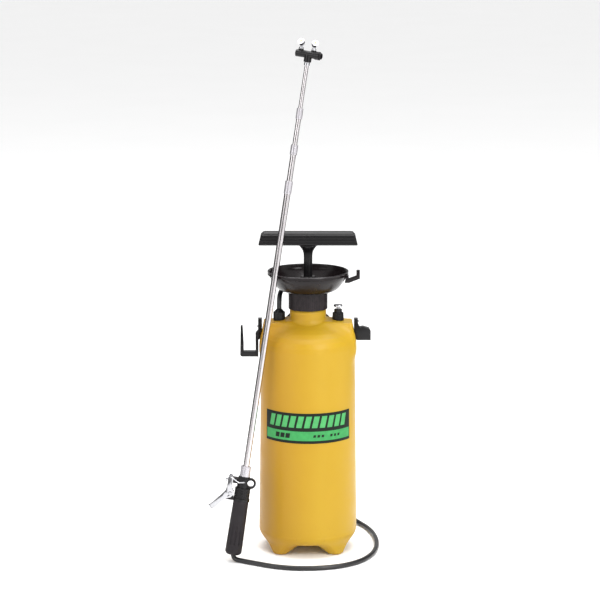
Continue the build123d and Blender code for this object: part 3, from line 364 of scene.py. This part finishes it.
def bright_metal(name, color, roughness, streak=(1.0, 1.0, 1.0), scale=300.0, depth=0.00002, variation=0.08):
    """Plated or drawn metal: fine drawing lines, slightly uneven gloss and faint smears."""
    s = Shader(name, color, roughness, metallic=1.0)
    lines = s.noise(scale, 3.0, s.stretched(streak))
    smear = s.noise(25.0, 4.0)
    base = s.ramp(lines, [(0.3, tone(color, 1 - variation)), (0.7, tone(color, 1 + variation))])
    s.link(s.mix(s.remap(smear, 0.5, 0.75, 0.0, 0.35), base, tone(color, 0.7)), "Base Color")
    s.link(s.remap(smear, 0.35, 0.7, roughness * 0.7, roughness * 1.6), "Roughness")
    s.bump(lines, 0.3, depth)
    return s.material


def hose_surface():
    """Extruded hose: smooth skin with a slow gloss change, a fine even bump and dust."""
    s = Shader("hose_skin", (0.010, 0.010, 0.011), 0.36, Specular_IOR_Level=0.45, Coat_Weight=0.10,
               Coat_Roughness=0.25)
    dust = s.remap(s.noise(40.0, 5.0, roughness=0.7), 0.55, 0.8, 0.0, 0.35)
    base = s.ramp(s.noise(30.0, 4.0), [(0.3, (0.007, 0.007, 0.008)), (0.75, (0.016, 0.015, 0.016))])
    s.link(s.mix(dust, base, (0.05, 0.048, 0.045)), "Base Color")
    s.link(s.remap(s.noise(90.0, 3.0), 0.3, 0.7, 0.28, 0.46), "Roughness")
    s.bump(s.noise(500.0, 2.0), 0.3, 0.00006)
    return s.material


def print_ink(name, color):
    """Screen-printed vinyl: flat glossy ink with a faint mottle."""
    s = Shader(name, color, 0.42, Specular_IOR_Level=0.2)
    s.link(s.ramp(s.noise(120.0, 3.0), [(0.3, tone(color, 0.9)), (0.7, tone(color, 1.1))]), "Base Color")
    s.link(s.remap(s.noise(50.0, 2.0), 0.3, 0.7, 0.36, 0.5), "Roughness")
    s.bump(s.noise(260.0, 2.0), 0.15, 0.00004)
    return s.material


BLACK = moulded_plastic("black_plastic", (0.006, 0.0055, 0.006), 0.30, coat=0.04, wear=0.4)
CAP_BLACK = moulded_plastic("cap_plastic", (0.011, 0.008, 0.009), 0.38, wear=0.4)
BOWL_BLACK = moulded_plastic("bowl_plastic", (0.007, 0.0045, 0.005), 0.24, coat=0.04)
GRIP_BLACK = moulded_plastic("grip_rubber", (0.0135, 0.0105, 0.0125), 0.55, grain=1500.0, grain_depth=0.0001,
                             wear=0.5)
NATURAL = moulded_plastic("natural_plastic", (0.72, 0.72, 0.66), 0.4)
SEAL = moulded_plastic("seal_rubber", (0.02, 0.02, 0.02), 0.6)
TANK_YELLOW = tank_plastic()
CHROME = bright_metal("bright_chrome", (0.50, 0.50, 0.52), 0.12)
TUBE = bright_metal("lance_tube", (0.60, 0.57, 0.58), 0.13, streak=(1.0, 1.0, 0.04), scale=900.0)
COLLAR = bright_metal("collar_metal", (0.60, 0.58, 0.61), 0.28, streak=(1.0, 1.0, 6.0), scale=250.0)
BRASS = bright_metal("brass_fitting", (0.70, 0.52, 0.22), 0.3)
SPRING = bright_metal("spring_steel", (0.62, 0.62, 0.64), 0.25)
HOSE = hose_surface()
LABEL_DARK = print_ink("label_dark", (0.004, 0.009, 0.005))
LABEL_GREEN = print_ink("label_green", (0.045, 0.30, 0.085))
LABEL_PALE = print_ink("label_pale", (0.07, 0.36, 0.11))
BY_SLOT = {"yellow_tank": TANK_YELLOW, "label_print": LABEL_DARK, "hose_rubber": HOSE, "black_plastic": BLACK,
           "bright_chrome": CHROME, "lance_tube": TUBE, "collar_metal": COLLAR, "seal_rubber": SEAL,
           "brass_fitting": BRASS, "natural_plastic": NATURAL, "spring_steel": SPRING,
           "grip_rubber": GRIP_BLACK}
BY_NODE = {"screw_cap": CAP_BLACK, "funnel": BOWL_BLACK, "funnel_hook": BOWL_BLACK, "rod_guide": BOWL_BLACK}
for part in frame["record"]["subparts"]:
    node = NODES[part["node"]]
    node.data.materials.clear()
    node.data.materials.append(BY_NODE.get(part["node"], BY_SLOT[part["material_slot"]]))
hose.data.materials.append(HOSE)

# ---- tank ----------------------------------------------------------------------------------------------
WALL_LOW = (86.0, 35.0)      # radius and height where the tapered wall starts
WALL_HIGH = (82.0, 366.0)    # and where it ends
UNDER = 21.0                 # height of the underside
BOTTOM_ROUND = 14.0
SADDLE_TOP = 409.0
NECK_R = 32.0
NECK_STEP = 430.0
NECK_TOP = 450.0
THREAD_R = 30.0
NECK_ROOT = 380.0            # the neck starts inside the shoulder
SADDLE_ROOT = 382.0
SADDLE_HALF_LENGTH = 75.0    # of the saddle's core, before its rounding
SADDLE_HALF_DEPTH = 20.0
SADDLE_ROUND = 3.0
PAD_X, PAD_Y = 40.0, 58.0    # pads behind the neck that carry the strap arch
PAD_R = 8.5
PAD_LOW, PAD_TOP = 360.0, 397.0
FOOT_PITCH = 47.5            # of the feet where they meet the floor
FOOT_SOLE = 3.0              # height below which a foot is straight
FOOT_LEAN = 0.48             # each foot leans towards the axis by this much of its height
FOOT_SPREAD = 0.98           # and its radius grows by this much
FOOT_R = 9.0
FOOT_ROUND = 4.0
FOOT_HIGH = 26.0
FOOT_LIMIT_R = 77.0
SEAM_RAISE, SEAM_WIDTH = 0.35, 0.7
SEAM_LOW, SEAM_HIGH = 24, 404


def wall_radius(z):
    """Outside radius of the tank's wall at height z, in millimetres."""
    share = (z - WALL_LOW[1]) / (WALL_HIGH[1] - WALL_LOW[1])
    return WALL_LOW[0] + (WALL_HIGH[0] - WALL_LOW[0]) * share


def body_outline():
    """Half section of the tank's body, without neck, feet or saddle, from its underside to its crown."""
    centre = (WALL_LOW[0] - BOTTOM_ROUND, UNDER + BOTTOM_ROUND)
    turns = [math.radians(a) for a in range(-90, 1, 10)]
    outline = [(0.0, UNDER)]
    outline += [(centre[0] + BOTTOM_ROUND * math.cos(a), centre[1] + BOTTOM_ROUND * math.sin(a))
                for a in turns]
    dome = [WALL_HIGH, (81.0, 374.5), (78.0, 382.5), (72.0, 389.5), (62.0, 396.0), (50.0, 401.5),
            (38.0, 406.0)]
    return outline + dome + [(0.0, 408.0)]


def outline_distance(r, z, outline):
    """Signed distance from each (r, z) to a closed half section, negative inside."""
    nearest = np.full(r.shape, 1e9)
    inside = np.zeros(r.shape, bool)
    closed = outline + [outline[0]]
    for (r0, z0), (r1, z1) in zip(closed, closed[1:]):
        dr, dz = r1 - r0, z1 - z0
        if r0 or r1:
            along_edge = np.clip(((r - r0) * dr + (z - z0) * dz) / (dr * dr + dz * dz), 0, 1)
            gap = np.hypot(r - r0 - along_edge * dr, z - z0 - along_edge * dz)
            nearest = np.minimum(nearest, gap)
        if z0 != z1:
            crossing = ((z0 > z) != (z1 > z)) & (r < r0 + (z - z0) * dr / dz)
            inside ^= crossing
    return np.where(inside, -nearest, nearest)


def blend_union(a, b, k):
    """Union of two distances with a fillet of about k."""
    h = np.maximum(k - np.abs(a - b), 0) / k
    return np.minimum(a, b) - h * h * k / 4


def tank_distance(p):
    """Signed distance from points (n, 3), in millimetres, to the tank's outside."""
    x, y, z = p[:, 0], p[:, 1], p[:, 2]
    r = np.hypot(x, y)
    d = outline_distance(r, z, body_outline())
    qx, qy = np.abs(x) - SADDLE_HALF_LENGTH, np.abs(y) - SADDLE_HALF_DEPTH
    qz = np.abs(z - SADDLE_ROOT) - (SADDLE_TOP - SADDLE_ROOT - SADDLE_ROUND)
    outer = np.sqrt(np.maximum(qx, 0) ** 2 + np.maximum(qy, 0) ** 2 + np.maximum(qz, 0) ** 2)
    saddle = outer + np.minimum(np.maximum(qx, np.maximum(qy, qz)), 0) - SADDLE_ROUND
    d = blend_union(d, saddle, 20.0)
    neck = np.maximum(np.maximum(r - NECK_R, z - NECK_TOP), NECK_ROOT - z)
    d = blend_union(d, neck, 5.0)
    for side in (-1, 1):
        pad = np.maximum(np.hypot(x - side * PAD_X, y - PAD_Y) - PAD_R, z - PAD_TOP)
        d = blend_union(d, np.maximum(pad, PAD_LOW - z), 4.0)
    lean = FOOT_PITCH - FOOT_LEAN * np.maximum(z - FOOT_SOLE, 0)
    rho = np.hypot(np.abs(x) - lean, np.abs(y) - lean)
    cone = (rho - (FOOT_R + (z - FOOT_SOLE) * FOOT_SPREAD)) * 0.71
    foot = np.maximum(np.maximum(cone, FOOT_ROUND + 0.5 - z), z - FOOT_HIGH)
    foot = np.maximum(foot, r - FOOT_LIMIT_R) - FOOT_ROUND
    d = blend_union(d, foot, 9.0)
    seam = SEAM_RAISE * np.exp(-(y / SEAM_WIDTH) ** 2) * (z > SEAM_LOW) * (z < SEAM_HIGH)
    return d - seam


def tank_rays():
    """Where rays in the half section start and which way they look, as (r, z, angle) from axis to neck."""
    rays = [(r, 60.0, -90.0) for r in np.arange(4.0, 62.0, 1.6)]
    rays += [(62.0, 46.0, a) for a in np.arange(-90.0, 0.0, 2.2)]
    rays += [(62.0, z, 0.0) for z in np.arange(46.0, 350.0, 7.0)]
    rays += [(56.0, 352.0, a) for a in np.arange(0.0, 90.0, 2.0)]
    rays += [(r, 352.0, 90.0) for r in np.arange(56.0, 34.0, -1.1)]
    rays += [(12.0, z, 0.0) for z in np.arange(415.0, NECK_STEP, 1.5)]
    return rays


def tank_angles():
    """Angles round the axis, closer together at the mould seam."""
    even = np.linspace(0, 2 * math.pi, 300, endpoint=False)
    near = np.radians([-0.9, -0.6, -0.3, 0.3, 0.6, 0.9])
    return np.unique(np.concatenate([even, near % (2 * math.pi), near + math.pi]))


RAY_LENGTH = 75.0
UPRIGHT_RAY_LENGTH = 105.0
MARCH_STEPS = 40
MARCH_SHARE = 0.6            # of the distance, taken at each step so that none passes the surface


def make_tank():
    """The tank's skin: each ray is followed inward, from outside, until it meets the surface."""
    angles = tank_angles()
    rings = []
    for r, z, look in tank_rays():
        out_r, out_z = math.cos(math.radians(look)), math.sin(math.radians(look))
        depth = np.full(angles.shape, UPRIGHT_RAY_LENGTH if abs(look) == 90 else RAY_LENGTH)
        for _ in range(MARCH_STEPS):
            rad = r + depth * out_r
            p = np.stack([rad * np.cos(angles), rad * np.sin(angles), z + depth * out_z], axis=1)
            depth -= np.maximum(tank_distance(p), 0) * MARCH_SHARE
        rings.append([Vector(q) * MM for q in p])
    for radius, height in ((THREAD_R, NECK_STEP), (THREAD_R, NECK_TOP)):
        rings.append([Vector((radius * math.cos(a), radius * math.sin(a), height)) * MM for a in angles])
    piece = new_object("tank_shell", grid_mesh("tank_shell", rings))
    sharpen(piece, 60)
    dress(piece, "tank_body", ["tank"], TANK_YELLOW)


make_tank()

# ---- printed label: plain bars in place of lettering ---------------------------------------------------
LABEL_SKIN = 0.5
INK = 0.12


def print_bar(bm, start, end, low, high, lean=0.0, steps=2.0, lift=INK):
    """A thin printed patch from start to end degrees round the tank, its top leaning lean degrees over.

    It has an edge about every steps degrees and stands lift millimetres above the label.
    """
    count = max(2, int((end - start) / steps))
    corners = []
    for z, shift in ((low, 0.0), (high, lean)):
        row = []
        for i in range(count + 1):
            turn = math.radians(-90 + start + (end - start) * i / count + shift)
            way = Vector((math.cos(turn), math.sin(turn), 0))
            radius = wall_radius(z) + LABEL_SKIN
            row.append([(way * (radius + out) + Vector((0, 0, z))) * MM for out in (-0.05, lift)])
        corners.append(row)
    (low_row, high_row) = [[[bm.verts.new(p) for p in pair] for pair in row] for row in corners]
    for i in range(count):
        a, b, c, d = low_row[i], low_row[i + 1], high_row[i + 1], high_row[i]
        bm.faces.new((a[1], b[1], c[1], d[1]))
        bm.faces.new((d[0], c[0], b[0], a[0]))
        bm.faces.new((a[0], b[0], b[1], a[1]))
        bm.faces.new((d[1], c[1], c[0], d[0]))
    for pair_low, pair_high in ((low_row[0], high_row[0]), (low_row[-1], high_row[-1])):
        bm.faces.new((pair_low[0], pair_low[1], pair_high[1], pair_high[0]))


def print_piece(name, bars, material):
    bm = bmesh.new()
    for bar in bars:
        print_bar(bm, *bar)
    bmesh.ops.recalc_face_normals(bm, faces=bm.faces)
    mesh = bpy.data.meshes.new(name)
    bm.to_mesh(mesh)
    bm.free()
    dress(new_object(name, mesh, smooth=False), "tank_body", [], material)


band = (213.0, 229.5)
print_piece("label_band", [(-57.5, 57.5, *band)], LABEL_GREEN)
print_piece("label_title_bars", [(-52.0 + 9.4 * i, -45.4 + 9.4 * i, 236.0, 256.5, 3.2) for i in range(11)],
            LABEL_PALE)
blocks = [(start, start + 5.5, 217.0, 225.5, 0.8, 2.0, 0.2) for start in (-42.0, -35.0, -28.0)]
blocks += [(start, start + 3.0, 219.0, 223.5, 0.6, 2.0, 0.2) for start in (6.0, 11.0, 16.0, 27.0, 32.0, 37.0)]
print_piece("label_small_bars", blocks, LABEL_DARK)


# ---- pump handle: an inverted channel with rounded ends and a ribbed face, on a flared, fluted hub -----
HANDLE_LOW, HANDLE_HIGH = 545.0, 568.0
HALF_LOW, HALF_HIGH = 86.5, 81.0
HALF_DEPTH = 14.0
HUB_SIDES = 96
HUB_FLUTES = 12
HUB_HALF_DEPTH = 13.2
HUB_HALF_DEPTH_IN_BAR = 11.0


def rounded_rectangle(half_x, half_y, corner, z, steps=6):
    """Points round a rounded rectangle at height z."""
    points = []
    for quarter, (sx, sy) in enumerate(((1, 1), (-1, 1), (-1, -1), (1, -1))):
        for i in range(steps + 1):
            turn = math.radians(90 * quarter + 90 * i / steps)
            points.append(Vector((sx * (half_x - corner) + corner * math.cos(turn),
                                  sy * (half_y - corner) + corner * math.sin(turn), z)) * MM)
    return points


def handle_bar_mesh():
    outside = [(HANDLE_LOW, 0.4), (HANDLE_LOW + 0.5, 0.0),
               (548.6, 0.0), (549.1, 0.9), (550.6, 0.9), (551.1, 0.1),
               (553.6, 0.1), (554.1, 0.9), (555.6, 0.9), (556.1, 0.1),
               (558.6, 0.1), (559.1, 0.9), (560.6, 0.9), (561.1, 0.0),
               (562.6, 0.0), (563.2, 0.5), (563.5, 1.9), (565.6, 3.2), (567.0, 5.2), (567.8, 7.6),
               (HANDLE_HIGH, 10.0)]
    rings = []
    for z, inset in outside:
        taper = (HALF_LOW - HALF_HIGH) * (z - HANDLE_LOW) / (HANDLE_HIGH - HANDLE_LOW)
        rings.append(rounded_rectangle(HALF_LOW - taper - inset * 0.6, HALF_DEPTH - inset, 3.5, z))
    inside = [(HANDLE_LOW, 2.4), (HANDLE_LOW + 0.4, 2.8), (560.5, 3.4), (562.0, 5.0)]
    inner = [rounded_rectangle(HALF_LOW - 0.2 * (z - HANDLE_LOW) - wall, HALF_DEPTH - wall, 2.0, z)
             for z, wall in reversed(inside)]
    return grid_mesh("handle_bar", inner + rings)


def handle_hub_mesh():
    flare = [(7.75, 523.0), (7.8, 526.0), (8.1, 529.0), (8.7, 532.0), (9.8, 534.8), (11.3, 537.3),
             (13.1, 539.8), (15.4, 542.3), (18.2, 545.2), (18.2, 560.0), (3.0, 561.0)]
    rings = []
    for radius, z in flare:
        flute = 0.055 if z < HANDLE_LOW else 0.0
        half_depth = HUB_HALF_DEPTH_IN_BAR if z > HANDLE_LOW else HUB_HALF_DEPTH
        ring = []
        for k in range(HUB_SIDES):
            turn = 2 * math.pi * k / HUB_SIDES
            reach = radius * (1 - flute * max(0.0, math.cos(HUB_FLUTES * turn)) ** 2)
            y = max(-half_depth, min(half_depth, reach * math.sin(turn)))
            ring.append(Vector((reach * math.cos(turn), y, z)) * MM)
        rings.append(ring)
    return grid_mesh("handle_hub", rings)


def make_handle():
    bar = new_object("handle_bar", handle_bar_mesh())
    sharpen(bar, 40)
    dress(bar, "plunger", ["handle"], BLACK)
    hub = new_object("handle_hub", handle_hub_mesh())
    sharpen(hub, 50)
    dress(hub, "plunger", ["handle"], BLACK)


make_handle()

# ---- CAD pieces with rounded edges ---------------------------------------------------------------------
for node, width in (("lance_bracket", 0.0009), ("strap_bracket", 0.0012), ("funnel_hook", 0.0009)):
    softened(node, width, BY_NODE.get(node, BLACK))
softened("trigger_lever", 0.0004, CHROME)


# ---- strap arch: a bent strip that rises out of sight behind the neck ----------------------------------
def make_arch():
    line = [(40.0, 396.5), (38.5, 401.0), (35.0, 404.5), (30.5, 409.0), (29.8, 416.0), (29.6, 427.0),
            (27.0, 433.5), (21.0, 436.8), (10.0, 437.5)]
    line += [(-x, z) for x, z in reversed(line)]
    half_thick, half_wide, soft = 2.2, 4.4, 0.7
    rings = []
    for i, (x, z) in enumerate(line):
        before, after = line[max(i - 1, 0)], line[min(i + 1, len(line) - 1)]
        way = Vector((after[0] - before[0], 0, after[1] - before[1])).normalized()
        out = Vector((way.z, 0, -way.x))
        corners = [(half_thick, half_wide - soft), (half_thick - soft, half_wide),
                   (soft - half_thick, half_wide), (-half_thick, half_wide - soft),
                   (-half_thick, soft - half_wide), (soft - half_thick, -half_wide),
                   (half_thick - soft, -half_wide), (half_thick, soft - half_wide)]
        rings.append([(Vector((x, PAD_Y, z)) + out * a + Vector((0, b, 0))) * MM for a, b in corners])
    arch = new_object("strap_arch", grid_mesh("strap_arch", rings))
    sharpen(arch, 50)
    dress(arch, "tank_body", ["rear_strap_arch"], BLACK)


make_arch()


# ---- rolled end of the trigger lever -------------------------------------------------------------------
def make_lever_end():
    foot, head = Vector((-52.4, 76.6)), Vector((-33.0, 97.0))
    way = (head - foot).normalized()
    reach = (head - foot).length
    profile = [(0.0, 2.6), (0.2, 4.0), (0.6, 4.4), (2.6, 4.4), (3.2, 3.7), (4.2, 3.5), (reach - 1.0, 3.2),
               (reach, 2.0)]
    rings = []
    for step, radius in profile:
        centre = foot + way * step
        ring = []
        for k in range(28):
            turn = 2 * math.pi * k / 28
            across, behind = radius * math.cos(turn), radius * math.sin(turn)
            ring.append(lance_point(centre.x + way.y * across, centre.y - way.x * across, behind))
        rings.append(ring)
    end = new_object("lever_end", grid_mesh("lever_end", rings))
    sharpen(end, 35)
    dress(end, node_body("trigger_lever"), [], CHROME)


make_lever_end()


# ---- rolled bead of the funnel's rim -------------------------------------------------------------------
BEAD_R = 1.15
BEAD_RING_R = 70.0
BEAD_Z = 497.3
BEAD_STEPS = 160


def make_rim_bead():
    """A glossy bead along the funnel's lip."""
    section = [math.radians(36 * i) for i in range(10)]
    rings = []
    for k in range(BEAD_STEPS):
        turn = 2 * math.pi * k / BEAD_STEPS
        ring = []
        for a in section:
            out = BEAD_RING_R + BEAD_R * math.cos(a)
            z = BEAD_Z + BEAD_R * math.sin(a)
            ring.append(Vector((out * math.cos(turn), out * math.sin(turn), z)) * MM)
        rings.append(ring)
    rings.append(rings[0])
    mesh = grid_mesh("funnel_bead", rings, False, False)
    bm = bmesh.new()
    bm.from_mesh(mesh)
    bmesh.ops.remove_doubles(bm, verts=bm.verts, dist=1e-6)
    bmesh.ops.recalc_face_normals(bm, faces=bm.faces)
    bm.to_mesh(mesh)
    bm.free()
    bead = new_object("funnel_bead", mesh)
    gloss = moulded_plastic("bead_plastic", (0.012, 0.009, 0.010), 0.14, coat=0.5)
    dress(bead, node_body("funnel"), [], gloss)


make_rim_bead()


# ---- studio --------------------------------------------------------------------------------------------
FLOOR_R = 15.0


def make_floor():
    bm = bmesh.new()
    bmesh.ops.create_circle(bm, cap_ends=True, segments=96, radius=FLOOR_R)
    mesh = bpy.data.meshes.new("floor")
    bm.to_mesh(mesh)
    bm.free()
    floor = new_object("floor", mesh)
    paper = Shader("floor_paper", (0.95, 0.95, 0.95), 0.85, Specular_IOR_Level=0.2)
    mottle = paper.ramp(paper.noise(3.0, 2.0), [(0.3, (0.945,) * 3), (0.7, (0.955,) * 3)])
    paper.link(mottle, "Base Color")
    floor.data.materials.append(paper.material)


def make_world():
    """A pale room: a bright ceiling, a dimmer band at eye level and tall soft strips for metal to mirror."""
    world = bpy.data.worlds.new("studio")
    world.use_nodes = True
    tree = world.node_tree
    background = next(n for n in tree.nodes if n.type == "BACKGROUND")

    def calc(operation, first, second=0.0):
        return math_node(tree, operation, first, second)

    def smooth(value, low, high):
        node = tree.nodes.new("ShaderNodeMapRange")
        node.interpolation_type = "SMOOTHSTEP"
        tree.links.new(value, node.inputs["Value"])
        node.inputs["From Min"].default_value = low
        node.inputs["From Max"].default_value = high
        return node.outputs["Result"]

    coords = tree.nodes.new("ShaderNodeTexCoord")
    split = tree.nodes.new("ShaderNodeSeparateXYZ")
    tree.links.new(coords.outputs["Generated"], split.inputs[0])
    azimuth = calc("ARCTAN2", split.outputs["X"], calc("MULTIPLY", split.outputs["Y"], -1.0))
    ceiling = smooth(split.outputs["Z"], 0.12, 0.5)
    total = calc("ADD", calc("MULTIPLY", ceiling, 0.62), 0.30)
    band = calc("SUBTRACT", 1.0, smooth(calc("ABSOLUTE", split.outputs["Z"]), 0.3, 0.5))
    for centre, half, power in ((0.55, 0.20, 3.4), (-0.75, 0.13, 1.6), (2.5, 0.25, 1.2), (-2.4, 0.25, 1.2)):
        away = calc("ABSOLUTE", calc("SUBTRACT", azimuth, centre))
        strip = calc("SUBTRACT", 1.0, smooth(away, half * 0.6, half * 1.4))
        total = calc("ADD", total, calc("MULTIPLY", calc("MULTIPLY", strip, band), power))
    tree.links.new(total, background.inputs["Strength"])
    background.inputs["Color"].default_value = (1, 1, 1, 1)
    bpy.context.scene.world = world


def make_lights():
    for name, place, size, power in (("key", (2.0, -2.8, 2.6), 1.4, 66), ("fill", (-2.6, -2.0, 1.8), 1.6, 18),
                                     ("top", (0.2, 0.4, 3.4), 3.0, 120)):
        data = bpy.data.lights.new(name, "AREA")
        data.size = size
        data.energy = power
        light = bpy.data.objects.new(name, data)
        bpy.context.scene.collection.objects.link(light)
        light.location = place
        light.rotation_euler = (Vector((0, 0, 0.35)) - Vector(place)).to_track_quat("-Z", "Y").to_euler()


def make_flags():
    """Dark studio cards beside the object, seen only as reflections, that give metal its dark edges."""
    card_paint = Shader("flag_cloth", (0.02, 0.02, 0.02), 0.9, Specular_IOR_Level=0.0).material
    for name, x, low_y, high_y in (("flag_left", -0.95, 0.0, 1.7), ("flag_right", 0.95, 0.15, 1.7)):
        mesh = bpy.data.meshes.new(name)
        corners = [(x, low_y, 0.01), (x, high_y, 0.01), (x, high_y, 2.2), (x, low_y, 2.2)]
        mesh.from_pydata(corners, [], [(0, 1, 2, 3)])
        card = new_object(name, mesh, smooth=False)
        card.data.materials.append(card_paint)
        card.visible_camera = False
        card.visible_shadow = False
        card.visible_diffuse = False


make_floor()
make_flags()
make_world()
make_lights()
bpy.context.scene.view_settings.view_transform = "Standard"    # the default one fades the yellow
